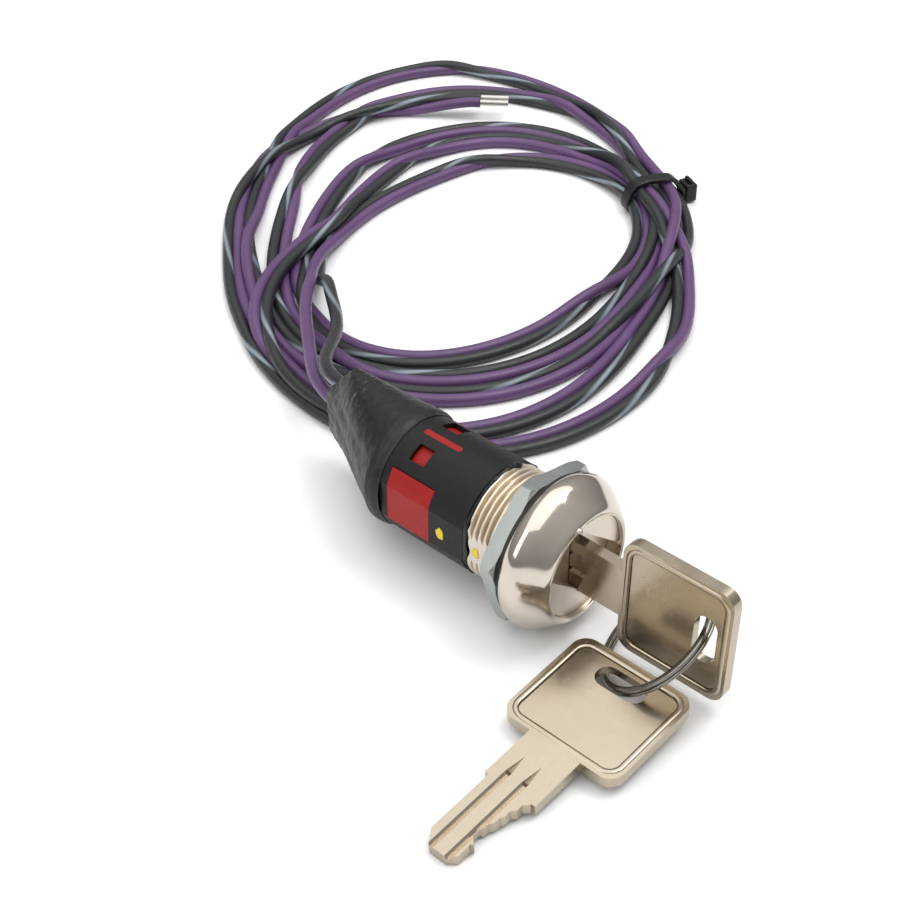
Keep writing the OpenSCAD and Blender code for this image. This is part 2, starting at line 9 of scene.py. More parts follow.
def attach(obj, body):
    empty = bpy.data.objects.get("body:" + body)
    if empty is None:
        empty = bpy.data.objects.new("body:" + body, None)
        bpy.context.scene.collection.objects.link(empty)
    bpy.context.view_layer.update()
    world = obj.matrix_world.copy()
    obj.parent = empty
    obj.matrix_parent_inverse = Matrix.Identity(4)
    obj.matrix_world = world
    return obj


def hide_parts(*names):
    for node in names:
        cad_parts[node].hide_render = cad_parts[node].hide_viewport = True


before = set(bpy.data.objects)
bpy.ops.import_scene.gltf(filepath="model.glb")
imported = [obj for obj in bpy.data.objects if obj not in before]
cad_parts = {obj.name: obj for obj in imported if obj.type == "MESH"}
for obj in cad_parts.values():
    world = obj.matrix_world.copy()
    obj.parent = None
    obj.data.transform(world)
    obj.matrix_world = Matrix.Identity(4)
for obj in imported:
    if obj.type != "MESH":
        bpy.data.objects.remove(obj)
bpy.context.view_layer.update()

# ---- Camera -------------------------------------------------------------------------------
# The switch is seen from its key's side, off to the left and from well above, with a medium
# long lens, so the head, the boot and the whole coil are in view.
camera_target = Vector((0.0150, 0.0343, -0.0070))
camera_place = Vector((-0.1686, -0.1351, 0.1861))
camera_data = bpy.data.cameras.new("camera")
camera_data.lens = 64
camera_data.clip_start = 0.01
camera = bpy.data.objects.new("camera", camera_data)
camera.location = camera_place
camera.rotation_euler = (camera_target - camera_place).to_track_quat("-Z", "Y").to_euler()
bpy.context.collection.objects.link(camera)
bpy.context.scene.camera = camera

# ---- Leads --------------------------------------------------------------------------------
# Two stranded hook-up leads, 2.8 mm over their extruded PVC sheaths. They are soldered to the
# contacts inside the boot, run twisted loosely round each other, and are wound by hand into
# a flat coil of about five turns, whose turns have slid down between one another.
MM = 0.001
floor_z = -15.0
lead_d = 2.8
lead_r = lead_d / 2
lead_step = 3.0
black_route = [(0, 34.9, 5), (0, 37.5, 5), (2, 41.5, 5), (4.2, 46, 4.8), (5.6, 60, 4),
               (8, 63.5, 3.4), (13, 67, 2), (19, 71, 0), (25.5, 76, -1.8), (30.5, 82, -2.9),
               (34.5, 88.5, -3.2), (39.5, 94.5, -3.3), (45, 98, -4.2)]
purple_route = [(0, 34.9, -5), (0, 37.5, -5), (1.8, 41.5, -3), (3.8, 46, -1), (5.2, 60, -0.4),
                (7, 64.5, -0.8), (11.5, 70, -1.6), (17.5, 77, -2.6), (23, 84, -3.1),
                (28.5, 90.5, -3.2), (34.5, 95.5, -3.3), (40.5, 99.5, -4.2)]
# the turns lie between two ovals, each given by its centre, its half axes and its tilt
coil_centre = np.array((90.0, 92.0))
coil_out = (91, 101, 96, 60, 44)
coil_in = (86, 89, 46, 32, 6)
coil_h = 10.0
# where the tie stands round the coil, and how far from its centre the turns may lie there. It
# draws them closer together than elsewhere, and its strap passes under them.
tie_turn = -25.0
tie_inner_r = 37.5
tie_outer_r = 58.5
tie_squeeze = 3.6
tie_t = 1.3
# how far round the coil, how far across it from its inner edge (0) to its outer edge (1),
# and how high above the turns below
winding = [(0, 0.05, 6.5), (30, 0.03, 5), (82, 0.05, 1), (122, 0.05, 0), (160, 0.10, 0), (197, 0.12, 0),
           (262, 0.04, 0), (310, 0.10, 0), (352, 0.28, 0), (400, 0.26, 0), (442, 0.38, 0), (482, 0.34, 0),
           (557, 0.44, 0), (622, 0.27, 0), (680, 0.36, 0), (712, 0.48, 0), (780, 0.55, 0), (802, 0.62, 1),
           (842, 0.74, 0), (917, 0.86, 0), (982, 0.40, 1), (1072, 0.66, 0), (1130, 0.80, 0), (1162, 0.90, 0),
           (1202, 0.99, 0), (1277, 0.66, 4.5), (1342, 0.56, 0), (1390, 0.80, 0), (1418, 0.98, 2),
           (1435, 0.90, 5), (1450, 0.68, 6), (1460, 0.45, 6), (1470, 0.24, 6), (1484, 0.06, 5),
           (1522, 0.22, 3), (1562, 0.24, 2), (1637, 0.28, 5), (1702, 0.97, 0), (1760, 0.98, 0),
           (1792, 0.88, 0), (1850, 0.95, 0), (1882, 0.85, 0), (1905, 0.66, 0), (1929, 0.52, 0)]
# where round the coil the winding starts, and how far the two leads are twisted there
start_turn = 172.0
start_twist = 200
# where the two sheaths end, the way that they point there, how far each lies from the middle of
# the pair, and how many points of each lead are drawn into line with that
sheath_end = np.array((141.2, 139.1, -10.0))
sheath_end_turn = -52.0
sheath_end_spread = 1.5
sheath_end_points = 15


def smooth(u):
    """Rises from 0 to 1 with a level start and end."""
    return u * u * (3 - 2 * u)


def oval_radius(oval, turn):
    """How far the edge of an oval is from the coil's centre, at an angle round it."""
    cx, cy, a, b, tilt = oval
    t = math.radians(tilt)
    u = np.array((math.cos(math.radians(turn)), math.sin(math.radians(turn))))
    p = coil_centre - np.array((cx, cy))
    turned = np.array(((math.cos(t), math.sin(t)), (-math.sin(t), math.cos(t))))
    u, p = (turned @ u) / (a, b), (turned @ p) / (a, b)
    k = u @ p
    return (-k + math.sqrt(k * k - (u @ u) * (p @ p - 1))) / (u @ u)


ring_turns = np.arange(0, 361, 2.0)
ring_inner = np.array([oval_radius(coil_in, t) for t in ring_turns]) + lead_r
ring_outer = np.array([oval_radius(coil_out, t) for t in ring_turns]) - lead_r


def near_tie(turn, full, none):
    """1 within an angle of the tie, falling smoothly to 0 at a wider angle."""
    off = np.abs((np.asarray(turn) - tie_turn + 180) % 360 - 180)
    return smooth(np.clip(1 - (off - full) / (none - full), 0, 1))


def limits(turn):
    """The inner and outer radius that a lead's middle may have at an angle round the coil."""
    turn = np.asarray(turn) % 360
    inner = np.interp(turn, ring_turns, ring_inner)
    outer = np.interp(turn, ring_turns, ring_outer)
    hold = near_tie(turn, 4, 38)
    inner = inner + (np.maximum(inner, tie_inner_r + lead_r) - inner) * hold
    outer = outer + (np.minimum(outer, tie_outer_r - tie_squeeze - lead_r) - outer) * hold
    return inner, outer


def soften(points, rounds=3):
    """Rounds off a route by cutting its corners again and again."""
    p = np.array(points, float)
    for _ in range(rounds):
        near, far = 0.75 * p[:-1] + 0.25 * p[1:], 0.25 * p[:-1] + 0.75 * p[1:]
        p = np.vstack([p[:1], np.stack([near, far], 1).reshape(-1, 3), p[-1:]])
    return p


def spaced(points, step):
    """The same line with its points a step apart."""
    along = np.concatenate([[0], np.cumsum(np.linalg.norm(np.diff(points, axis=0), axis=1))])
    want = np.linspace(0, along[-1], max(2, int(round(along[-1] / step)) + 1))
    return np.stack([np.interp(want, along, points[:, i]) for i in range(3)], 1)


def wound(side):
    """One lead's place in the coil as it is laid, before it settles."""
    turns, across, lift = (np.array(c, float) for c in zip(*winding))
    steps = np.arange(0, turns[-1] + 0.01, 3.0)
    g = np.interp(steps, turns, across)
    h = np.interp(steps, turns, lift)
    for eased in (g, h, g, h, g, h):
        eased[1:-1] = (eased[:-2] + 2 * eased[1:-1] + eased[2:]) / 4
    # a coil wound by hand wanders in and out a little, and its twist isn't even
    g = g + 0.022 * np.sin(np.radians(steps * 2.3 + 40)) + 0.015 * np.sin(np.radians(steps * 3.7))
    twist = np.radians(steps * 1.7 + start_twist + 40 * np.sin(np.radians(steps * 0.9)))
    inner, outer = limits(start_turn - steps)
    r = inner + (outer - inner) * np.clip(g, 0, 1) + side * lead_r * np.cos(twist)
    a = np.radians(start_turn - steps)
    z = floor_z + lead_d + h * 0.9 + side * lead_r * np.sin(twist)
    return np.stack([coil_centre[0] + r * np.cos(a), coil_centre[1] + r * np.sin(a), z], 1)


def settled(strands, held, rounds=160):
    """Lets the leads sink and slide past one another until they lie on each other. In each round a
    point sinks, is drawn back to where it was laid and is straightened by its neighbours. Then the
    leads keep their length and push apart where they touch, and all stays within the coil."""
    sink, draw_back, straighten, keep_length, push_apart = 0.06, 0.04, 0.2, 0.25, 0.3
    least_gap, look_further, held_at_end = 0.06, 3, 4
    count = [len(s) for s in strands]
    p = np.vstack(strands)
    first = p.copy()
    free = np.ones(len(p))
    own = np.concatenate([np.full(n, i) for i, n in enumerate(count)])
    place = np.concatenate([np.arange(n) for n in count])
    for i, n in enumerate(count):
        start = sum(count[:i])
        free[start:start + held[i]] = 0
        free[start + n - held_at_end:start + n] = 0
    link = np.nonzero(own[:-1] == own[1:])[0]
    rest = np.linalg.norm(p[link + 1] - p[link], axis=1)
    middle = np.nonzero((own[:-2] == own[2:]))[0] + 1

    def shoved(to, away, shift):
        """The points with one lot shifted, and the other lot shifted the opposite way."""
        move = np.zeros_like(p)
        np.add.at(move, to, shift)
        np.add.at(move, away, -shift)
        return p + move * free[:, None]

    for k in range(rounds):
        if k % 8 == 0:
            square = (p * p).sum(1)
            apart = square[:, None] + square[None, :] - 2 * p @ p.T
            a, b = np.nonzero(np.triu(apart < (lead_d + look_further) ** 2, 1))
            keep = (own[a] != own[b]) | (np.abs(place[a] - place[b]) > 4)
            a, b = a[keep], b[keep]
        move = np.zeros_like(p)
        move[:, 2] -= sink
        move[:, :2] += draw_back * (first[:, :2] - p[:, :2])
        move[middle] += straighten * ((p[middle - 1] + p[middle + 1]) / 2 - p[middle])
        p = p + move * free[:, None]
        for _ in range(2):
            d = p[link + 1] - p[link]
            n = np.linalg.norm(d, axis=1)
            p = shoved(link, link + 1, d * ((n - rest) / n * keep_length)[:, None])
            d = p[b] - p[a]
            n = np.linalg.norm(d, axis=1) + 1e-6
            push = np.clip(lead_d + least_gap - n, 0, None) * push_apart
            p = shoved(b, a, d * (push / n)[:, None])
        q = p[:, :2] - coil_centre
        r = np.linalg.norm(q, axis=1)
        turn = np.degrees(np.arctan2(q[:, 1], q[:, 0]))
        kept = np.clip(r, *limits(turn))
        p[:, :2] = np.where(free[:, None] > 0, coil_centre + q * (kept / r)[:, None], p[:, :2])
        # the tie's strap lies under the turns
        lowest = floor_z + lead_r + (tie_t + 0.1) * near_tie(turn, 5, 30)
        z = np.clip(p[:, 2], lowest, floor_z + coil_h - lead_r)
        p[:, 2] = np.where(free > 0, z, p[:, 2])
    return [p[own == i] for i in range(len(strands))]


def lead_path(route, side):
    """A lead's run from its solder joint to the coil and its turns as they are laid, and how many of
    its points are held still."""
    run = spaced(soften(route), lead_step)
    laid = spaced(wound(side), lead_step)
    # the coil is joined a little past the point of its first turn that the run comes nearest to
    skip = int(np.argmin(np.linalg.norm(laid[:30, :2] - run[-1, :2], axis=1))) + 3
    way = np.array((math.cos(math.radians(sheath_end_turn)), math.sin(math.radians(sheath_end_turn)), 0))
    last = sheath_end + side * sheath_end_spread * np.array((-way[1], way[0], 0))
    back = np.arange(sheath_end_points - 1, -1, -1)[:, None]
    share = smooth(1 - back / (sheath_end_points - 1))
    laid[-sheath_end_points:] *= 1 - share
    laid[-sheath_end_points:] += (last - way * back * lead_step) * share
    return spaced(np.vstack([run, laid[skip:]]), lead_step), len(run) - 1


def fine(line):
    """Draws a smooth line through a settled one."""
    p = line.copy()
    for _ in range(7):
        p[2:-2] = (p[1:-3] + 2 * p[2:-2] + p[3:-1]) / 4
    return soften(p, 1)


def finished(name, mesh):
    """Turns a mesh being built into an object of the scene."""
    mesh.normal_update()
    data = bpy.data.meshes.new(name)
    mesh.to_mesh(data)
    mesh.free()
    made = bpy.data.objects.new(name, data)
    bpy.context.collection.objects.link(made)
    return made


def sweep(name, path, radius, sides=14):
    """A round tube of that radius along a path in millimetres, with its ends closed.
    Its map runs once round the tube across, and a metre to a unit along."""
    ahead = np.gradient(path, axis=0)
    ahead /= np.linalg.norm(ahead, axis=1)[:, None]
    up = np.cross(ahead[0], (0.3, 0.2, 0.9))
    mesh = bmesh.new()
    uv = mesh.loops.layers.uv.new("round_and_along")
    rings = []
    for p, d in zip(path, ahead):
        up = up - d * (up @ d)
        up /= np.linalg.norm(up)
        side = np.cross(d, up)
        angles = [2 * math.pi * k / sides for k in range(sides)]
        rings.append([mesh.verts.new((p + radius * (math.cos(t) * up + math.sin(t) * side)) * MM)
                      for t in angles])
    run = np.concatenate([[0], np.cumsum(np.linalg.norm(np.diff(path, axis=0), axis=1))]) * MM
    for i in range(len(rings) - 1):
        for k in range(sides):
            n = (k + 1) % sides
            face = mesh.faces.new((rings[i][k], rings[i][n], rings[i + 1][n], rings[i + 1][k]))
            face.smooth = True
            for loop, at in zip(face.loops, ((k, i), (k + 1, i), (k + 1, i + 1), (k, i + 1))):
                loop[uv].uv = (at[0] / sides, run[at[1]])
    mesh.faces.new(reversed(rings[0]))
    mesh.faces.new(rings[-1])
    return finished(name, mesh)


def to_linear(code):
    """An sRGB hex colour as linear red, green, blue and alpha."""
    parts = [int(code[i:i + 2], 16) / 255 for i in (1, 3, 5)]
    return [c / 12.92 if c < 0.04045 else ((c + 0.055) / 1.055) ** 2.4 for c in parts] + [1.0]


def add(tree, kind, values=(), settings=(), **links):
    """Adds a node, sets its inputs and settings, and links what is given by input name, or by
    number as _0. A value that is a text is a hex colour."""
    made = tree.nodes.new(kind)
    for key, value in dict(settings).items():
        setattr(made, key, value)
    for key, value in dict(values).items():
        made.inputs[key].default_value = to_linear(value) if isinstance(value, str) else value
    for key, source in links.items():
        key = int(key[1:]) if key[1:].isdigit() else key.replace("_", " ")
        tree.links.new(source, made.inputs[key])
    return made


def material(name):
    """A new material, its node tree and its principled shader."""
    made = bpy.data.materials.new(name)
    made.use_nodes = True
    return made, made.node_tree, made.node_tree.nodes["Principled BSDF"]


def sheath_pvc(name, dark, light, painted_highlight=None):
    """Extruded PVC: satin, with a change of shade every 17 mm or so and drag marks 1 mm long. A colour
    given last is painted as a pale stripe that winds round the sheath: a painted highlight."""
    made, tree, shader = material(name)
    colours = {"data_type": "RGBA"}
    place = add(tree, "ShaderNodeTexCoord").outputs["Object"]
    slow = add(tree, "ShaderNodeTexNoise", {"Scale": 60, "Detail": 3}, Vector=place).outputs["Fac"]
    colour = add(tree, "ShaderNodeMix", {6: dark, 7: light}, colours, Factor=slow).outputs[2]
    # the pale stripe that winds round the sheath is a painted highlight
    if painted_highlight:
        map_place = add(tree, "ShaderNodeUVMap").outputs["UV"]
        round_and_along = add(tree, "ShaderNodeSeparateXYZ", Vector=map_place)
        # one full turn of the painted highlight in 52 mm, wandering a little
        turn = add(tree, "ShaderNodeMath", {1: 1 / 0.052}, {"operation": "MULTIPLY"},
                   _0=round_and_along.outputs["Y"])
        wander = add(tree, "ShaderNodeTexNoise", {"Scale": 25, "Detail": 1}, Vector=place)
        wander = add(tree, "ShaderNodeMath", {1: 0.35}, {"operation": "MULTIPLY"}, _0=wander.outputs["Fac"])
        total = add(tree, "ShaderNodeMath", {}, {"operation": "ADD"}, _0=turn.outputs[0],
                    _1=round_and_along.outputs["X"])
        total = add(tree, "ShaderNodeMath", {}, {"operation": "ADD"}, _0=total.outputs[0],
                    _1=wander.outputs[0])
        place_in_turn = add(tree, "ShaderNodeMath", {}, {"operation": "FRACT"}, _0=total.outputs[0])
        # the stripe takes up about an eighth of each turn, with soft edges
        edge = add(tree, "ShaderNodeMapRange", {1: 0.0, 2: 0.07, 3: 0.0, 4: 1.0},
                   {"interpolation_type": "SMOOTHSTEP"}, _0=place_in_turn.outputs[0])
        far_edge = add(tree, "ShaderNodeMapRange", {1: 0.09, 2: 0.19, 3: 1.0, 4: 0.0},
                       {"interpolation_type": "SMOOTHSTEP"}, _0=place_in_turn.outputs[0])
        stripe = add(tree, "ShaderNodeMath", {}, {"operation": "MULTIPLY"}, _0=edge.outputs[0],
                     _1=far_edge.outputs[0])
        # the painted highlight is made fainter in some places than in others
        highlight_fade = add(tree, "ShaderNodeMapRange", {1: 0.2, 2: 0.65, 3: 0.3, 4: 0.8}, _0=slow)
        stripe = add(tree, "ShaderNodeMath", {}, {"operation": "MULTIPLY"}, _0=stripe.outputs[0],
                     _1=highlight_fade.outputs[0])
        colour = add(tree, "ShaderNodeMix", {7: painted_highlight}, colours, Factor=stripe.outputs[0],
                     _6=colour).outputs[2]
    tree.links.new(colour, shader.inputs["Base Color"])
    marks = add(tree, "ShaderNodeTexNoise", {"Scale": 900, "Detail": 2}, Vector=place).outputs["Fac"]
    rough = add(tree, "ShaderNodeMapRange", {1: 0.3, 2: 0.7, 3: 0.36, 4: 0.5}, _0=marks)
    tree.links.new(rough.outputs[0], shader.inputs["Roughness"])
    bump = add(tree, "ShaderNodeBump", {"Strength": 0.12, "Distance": 0.0002}, Height=marks)
    tree.links.new(bump.outputs[0], shader.inputs["Normal"])
    shader.inputs["IOR"].default_value = 1.53
    return made


black_line, black_held = lead_path(black_route, 1)
purple_line, purple_held = lead_path(purple_route, -1)
black_line, purple_line = settled([black_line, purple_line], [black_held, purple_held])
purple_pvc = sheath_pvc("purple_pvc_sheath", "#4a2f58", "#684877")
# the black sheath's pale blue-grey stripe is a painted highlight
black_pvc = sheath_pvc("black_pvc_sheath_with_painted_highlight", "#18191b", "#242628", "#9aa8b3")
# both leads' bared ends are one piece, listed with the purple lead
for name, line, sheath, slot, stands_for, ends in (
        ("purple_lead_tube", purple_line, purple_pvc, "purple_pvc", ("purple_lead", "lead_coil"),
         ["lead_ends"]),
        ("black_lead_tube", black_line, black_pvc, "black_pvc", ("black_lead",), [])):
    line = fine(line)
    tube = sweep(name, line, lead_r)
    tube.data.materials.append(sheath)
    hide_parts(*stands_for)
    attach(tube, "switch")

# ---- Head, barrel and neck ------------------------------------------------------------------
# One zinc die casting, turned and threaded, then polished and nickel plated with a warm tint.
# The domed ring swells from a narrow lip round the plug's face. A flat runs along the thread.
crown_y, widest_y, head_back_y = -12.0, -5.8, -3.8
dome_round = 0.5
collar_r, dome_r, head_back_r = 10.42, 15.0, 14.1
lip_depth, lip_half_w = 0.17, 0.175
throat_r, throat_floor_y, bore_r = 10.07, -7, 7.06
thread_r, thread_end, thread_pitch, thread_depth = 11.0, 7.4, 1.25, 0.5
seat_r, barrel_flat = 10.7, 10.25
neck_r, neck_end = 10.2, 13.4
tail_bore_r, tail_bore_y = 8.4, 9.6


def lathe(name, profile, sides=192, shape=None):
    """Turns a closed profile of (station, radius) round the switch's axis. shape moves a point
    given as x, y, z in millimetres."""
    mesh = bmesh.new()
    rings = []
    for y, r in profile:
        ring = []
        for k in range(sides):
            t = 2 * math.pi * k / sides
            p = (r * math.sin(t), y, r * math.cos(t))
            ring.append(mesh.verts.new([c * MM for c in (shape(p, t) if shape else p)]))
        rings.append(ring)
    for a, b in zip(rings, rings[1:] + rings[:1]):
        for k in range(sides):
            n = (k + 1) % sides
            mesh.faces.new((a[k], b[k], b[n], a[n])).smooth = True
    bmesh.ops.recalc_face_normals(mesh, faces=mesh.faces)
    return finished(name, mesh)


def crease(piece, degrees=35):
    """Shades a piece smooth, apart from edges sharper than that."""
    piece.data.set_sharp_from_angle(angle=math.radians(degrees))


dome = []
for u in np.linspace(0.06, 1, 44) ** 2:
    swell = (1 - dome_round) * smooth(u) + dome_round * math.sqrt(1 - (1 - u) ** 2)
    dome.append((crown_y + (widest_y - crown_y) * u, collar_r + (dome_r - collar_r) * swell))
for t in np.linspace(0.1, math.pi / 2, 12):
    dome.append((widest_y + (head_back_y - widest_y) * math.sin(t),
                 dome_r - (dome_r - head_back_r) * (1 - math.cos(t))))
lip = [(crown_y + lip_depth - lip_depth * math.sin(t), throat_r + lip_half_w + lip_half_w * math.cos(t))
       for t in np.linspace(math.pi, 0.2, 8)]
thread = [(y, thread_r) for y in np.arange(0.02, thread_end, 0.1)]
head_profile = lip + dome + [(head_back_y, seat_r), (0, seat_r)] + thread + [
    (thread_end, thread_r - thread_depth), (thread_end, neck_r), (neck_end, neck_r), (neck_end, tail_bore_r),
    (tail_bore_y, tail_bore_r), (tail_bore_y, bore_r), (throat_floor_y, bore_r), (throat_floor_y, throat_r)]


def cut_thread(p, t):
    """Cuts the thread's groove and the flat into the barrel. The groove fades out at both ends, where
    the barrel is chamfered."""
    lead_in, lead_out, chamfer = 0.5, 0.4, 0.35
    root_w, flank_w = 0.12, 0.62
    x, y, z = p
    r = math.hypot(x, z)
    if 0 < y < thread_end and r > thread_r - 0.1:
        turn = (y / thread_pitch - t / (2 * math.pi)) % 1
        crest = 1 - abs(2 * turn - 1)
        depth = thread_depth * (1 - min(1, max(0, (crest - root_w) / flank_w)))
        full = max(0, min(1, y / lead_in, (thread_end - y) / lead_out))
        cut_r = r - depth * full - (1 - full) * chamfer
        x, z = x * cut_r / r, z * cut_r / r
    if 0 <= y < thread_end and r > neck_r:
        x = max(x, -barrel_flat)
    return x, y, z


head = lathe("head_casting", head_profile, 240, cut_thread)
crease(head, 40)


def plated(name, light, dark, smoothest, roughest, grit, bump=0.1, stretch=None, depth=0.00005):
    """Nickel or zinc plate. The shade drifts over about 8 mm, and fine pits or drawing lines of
    the given size in millimetres vary the gloss. A stretch pulls those marks out along an axis."""
    made, tree, shader = material(name)
    place = add(tree, "ShaderNodeTexCoord").outputs["Object"]
    cloud = add(tree, "ShaderNodeTexNoise", {"Scale": 130, "Detail": 4, "Roughness": 0.6}, Vector=place)
    colour = add(tree, "ShaderNodeMix", {6: dark, 7: light}, {"data_type": "RGBA"},
                 Factor=cloud.outputs["Fac"])
    tree.links.new(colour.outputs[2], shader.inputs["Base Color"])
    if stretch:
        place = add(tree, "ShaderNodeMapping", {"Scale": stretch}, Vector=place).outputs[0]
    marks = add(tree, "ShaderNodeTexNoise", {"Scale": 1000 / grit, "Detail": 5, "Roughness": 0.65},
                Vector=place)
    both = add(tree, "ShaderNodeMath", {}, {"operation": "MULTIPLY"}, _0=marks.outputs["Fac"],
               _1=cloud.outputs["Fac"])
    rough = add(tree, "ShaderNodeMapRange", {1: 0.12, 2: 0.42, 3: smoothest, 4: roughest}, _0=both.outputs[0])
    tree.links.new(rough.outputs[0], shader.inputs["Roughness"])
    bumped = add(tree, "ShaderNodeBump", {"Strength": bump, "Distance": depth}, Height=marks.outputs["Fac"])
    tree.links.new(bumped.outputs[0], shader.inputs["Normal"])
    shader.inputs["Metallic"].default_value = 1.0
    return made


# turned, and not polished, with tool marks about 0.5 mm long: the crests are painted light as a highlight and
# the valleys painted darker tan as shade
turned_thread, tree, shader = material("nickel_plated_thread")
place = add(tree, "ShaderNodeTexCoord").outputs["Object"]
axes = add(tree, "ShaderNodeSeparateXYZ", Vector=place)
flat = add(tree, "ShaderNodeCombineXYZ", X=axes.outputs["X"], Z=axes.outputs["Z"])
from_axis = add(tree, "ShaderNodeVectorMath", {}, {"operation": "LENGTH"}, _0=flat.outputs[0])
# painted light and shade: lighter out at the crests, darker tan down in the valleys
crest = add(tree, "ShaderNodeMapRange", {1: (thread_r - thread_depth) * MM, 2: thread_r * MM, 3: 0.0, 4: 1.0},
            _0=from_axis.outputs["Value"])
colour = add(tree, "ShaderNodeMix", {6: "#ab8f6c", 7: "#ebe1cf"}, {"data_type": "RGBA"},
             Factor=crest.outputs[0])
tree.links.new(colour.outputs[2], shader.inputs["Base Color"])
tool_marks = add(tree, "ShaderNodeTexNoise", {"Scale": 1800, "Detail": 3}, Vector=place).outputs["Fac"]
rough = add(tree, "ShaderNodeMapRange", {1: 0.3, 2: 0.7, 3: 0.34, 4: 0.5}, _0=tool_marks)
tree.links.new(rough.outputs[0], shader.inputs["Roughness"])
bump = add(tree, "ShaderNodeBump", {"Strength": 0.15, "Distance": 0.00005}, Height=tool_marks)
tree.links.new(bump.outputs[0], shader.inputs["Normal"])
shader.inputs["Metallic"].default_value = 1.0
# polished, so it mirrors the soft boxes, with a slight haze from handling
polished_nickel = plated("polished_warm_nickel", "#d4cbc0", "#c0b6aa", 0.07, 0.17, 1.1, 0.05)
head.data.materials.append(polished_nickel)
head.data.materials.append(turned_thread)
for face in head.data.polygons:
    on_flat = face.center.x < (0.05 - barrel_flat) * MM
    if face.center.y > 0 and not on_flat and math.hypot(face.center.x, face.center.z) > neck_r * MM:
        face.material_index = 1
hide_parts("lock_body")
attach(head, "switch")

# the small pointer cast on the collar's rim shows the key's off position
pointer_turn = math.radians(-16)
pointer_r, pointer_out, pointer_stretch = 0.6, 10.45, 1.5
pointer_mesh = bmesh.new()
bmesh.ops.create_uvsphere(pointer_mesh, u_segments=24, v_segments=16, radius=pointer_r * MM)
for v in pointer_mesh.verts:
    v.co.y *= pointer_stretch
for f in pointer_mesh.faces:
    f.smooth = True
pointer = finished("off_pointer", pointer_mesh)
pointer.location = [c * MM for c in (pointer_out * math.sin(pointer_turn), crown_y + 0.25,
                                     pointer_out * math.cos(pointer_turn))]
pointer.data.materials.append(polished_nickel)
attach(pointer, "switch")

# ---- Nut and sealing washer -------------------------------------------------------------------
# A turned steel hexagon nut, zinc plated, so it is greyer and duller than the head. It clamps a
# thin black rubber washer against the back of the dome.
zinc_plate = plated("zinc_plated_steel", "#c0c5c2", "#999f9c", 0.32, 0.5, 0.7, 0.18, (1, 0.25, 1))
# moulded rubber, dull, with a grain of about 1.5 mm
black_rubber, tree, shader = material("black_rubber")
place = add(tree, "ShaderNodeTexCoord").outputs["Object"]
grain = add(tree, "ShaderNodeTexNoise", {"Scale": 700, "Detail": 3}, Vector=place).outputs["Fac"]
colour = add(tree, "ShaderNodeMix", {6: "#141311", 7: "#2a2824"}, {"data_type": "RGBA"}, Factor=grain)
tree.links.new(colour.outputs[2], shader.inputs["Base Color"])
bump = add(tree, "ShaderNodeBump", {"Strength": 0.2, "Distance": 0.0001}, Height=grain)
tree.links.new(bump.outputs[0], shader.inputs["Normal"])
shader.inputs["Roughness"].default_value = 0.65


def paint(node, finish, bevel=0.0, degrees=35):
    """Gives a CAD piece its finish, and breaks its sharp edges by a bevel in millimetres."""
    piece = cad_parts[node]
    piece.data.materials.clear()
    piece.data.materials.append(finish)
    if bevel:
        edge = piece.modifiers.new("broken_edges", "BEVEL")
        edge.width = bevel * MM
        edge.segments = 2
        edge.limit_method = "ANGLE"
        edge.angle_limit = math.radians(degrees)
        edge.harden_normals = False


paint("hex_nut", zinc_plate, 0.18)
paint("sealing_gasket", black_rubber)

# ---- Plug -------------------------------------------------------------------------------------
# A die-cast plug with a machined face: satin nickel with fine turning marks, cut across by the
# wide groove that the tool of an assembly jig holds it by, and slotted for the key.
turned_nickel = plated("turned_satin_nickel", "#e2d9cd", "#cfc4b6", 0.34, 0.5, 0.5, 0.12, (1, 0.3, 1))
paint("plug", turned_nickel, 0.06)

# ---- Keys and split ring --------------------------------------------------------------------------
# Two stamped brass keys, coined with a raised rim round the bow, milled along the blade, then
# tumbled and nickel plated to a warm satin. They hang on a sprung ring of two flat turns.
key_nickel = plated("tumbled_warm_nickel", "#b9ae9c", "#a69a88", 0.2, 0.3, 1.4, 0.03)
for key in ("inserted_key", "spare_key"):
    paint(key, key_nickel, 0.12, 50)
# along a key from its stop: the bow's two ends and the hole. The stop of the key in the plug
# is on the switch's axis, and the spare key hangs tilted by its hole.
key_stop_y = -8.85
spare_hole = np.array((-10.3, -28.2, -10.6))
spare_tilt = math.radians(4.23)
hole_to_stop = 28.5
bow_from, bow_to, bow_half_w, key_half_t = -33.5, -11.2, 12.0, 1.1
bow_middle, bow_half_l = (bow_from + bow_to) / 2, (bow_to - bow_from) / 2
# the rim is a rounded bead, set in from the bow's edge and sunk a little in its side
rim_inset, rim_half_w, rim_h, rim_root, rim_corner = 1.15, 0.55, 0.2, 0.05, 2.6


def in_lock(along, across, up):
    """A point of the key in the plug, from places along, across and off its middle."""
    return np.array((up, key_stop_y + along, across))


def on_ring(along, across, up):
    """A point of the spare key."""
    x, z = -(along + hole_to_stop), -up
    c, q = math.cos(spare_tilt), math.sin(spare_tilt)
    return spare_hole + np.array((x * c - z * q, across, x * q + z * c))


